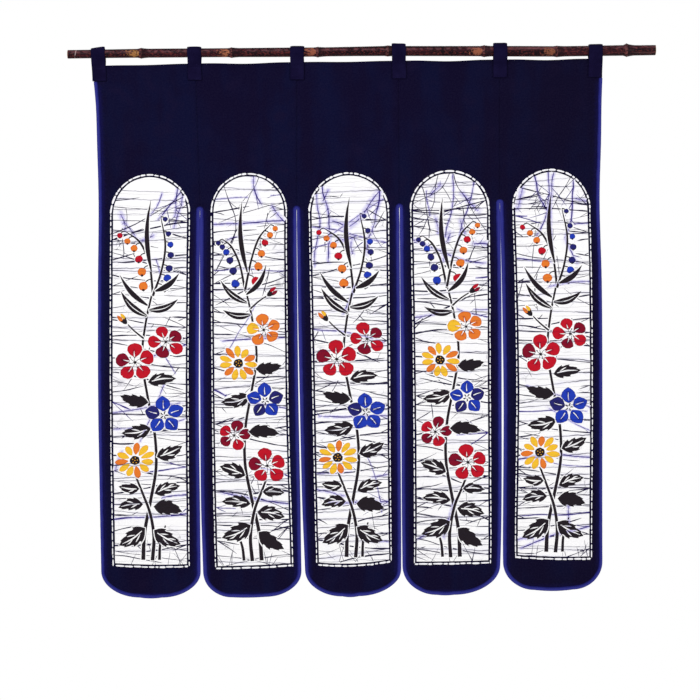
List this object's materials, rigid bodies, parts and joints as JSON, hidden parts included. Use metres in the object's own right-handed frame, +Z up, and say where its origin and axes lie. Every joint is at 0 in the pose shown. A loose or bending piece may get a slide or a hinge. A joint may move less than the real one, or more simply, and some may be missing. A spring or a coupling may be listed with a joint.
{
  "type": "noren curtain on bamboo rod",
  "caption": "Split doorway curtain of joined dyed cloth strips with round hems and taped edges, looped by cloth tabs over a straight bamboo rod.",
  "frame": {"origin": "inside the rod at mid-length, 1 mm below its slightly bent axis, level with the middles of its ends", "axes": "+X along the rod to the right seen from the front, +Z up, and the cloth's front faces -Y"},
  "size_m": [0.9944, 0.023, 0.9363],
  "materials": {
    "bamboo": "dark mottled bamboo with a soft polish",
    "navy_cotton": "matt plain-weave cotton, dyed",
    "blue_tape": "matt folded cotton tape"
  },
  "bodies": {
    "root": {"rod": "bamboo", "panel_1": "navy_cotton", "panel_2": "navy_cotton", "panel_3": "navy_cotton", "panel_4": "navy_cotton", "panel_5": "navy_cotton", "tab_1": "navy_cotton", "tab_2": "navy_cotton", "tab_3": "navy_cotton", "tab_4": "navy_cotton", "tab_5": "navy_cotton", "tab_6": "navy_cotton", "edge_binding": "blue_tape"}
  },
  "joints": []
}
